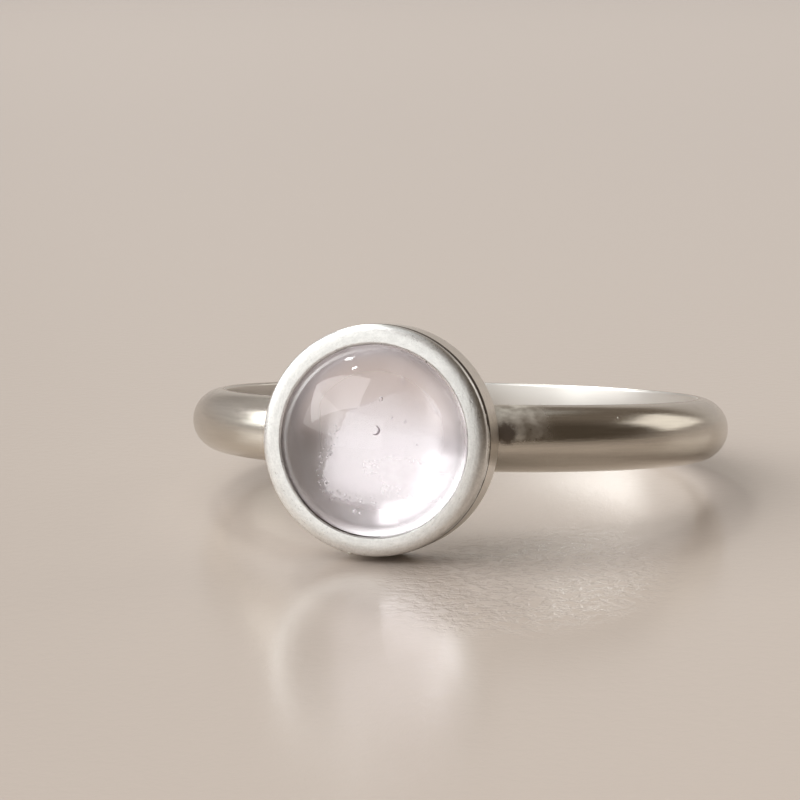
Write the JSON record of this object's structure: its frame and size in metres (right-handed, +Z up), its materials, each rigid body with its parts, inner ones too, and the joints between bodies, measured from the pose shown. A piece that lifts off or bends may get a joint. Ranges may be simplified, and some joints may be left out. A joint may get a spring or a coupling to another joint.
{
  "type": "crystal ring",
  "caption": "Plain half-round silver band ring with a round pink crystal cabochon in a smooth cup bezel, lying on its side.",
  "frame": {"origin": "on the surface that the ring lies on, under the middle of its box", "axes": "+Z up from that surface, -Y towards the bezel and its stone, X across the band; the finger hole's axis leans 8.07 degrees from +Z towards +Y"},
  "size_m": [0.0192, 0.0226, 0.0075],
  "materials": {
    "silver": "satin silver with fine scratches",
    "crystal": "polished, clear pale pink with faint inclusions"
  },
  "bodies": {
    "root": {"shank_and_cup": "silver", "bezel_collar": "silver", "cabochon": "crystal"}
  },
  "joints": []
}
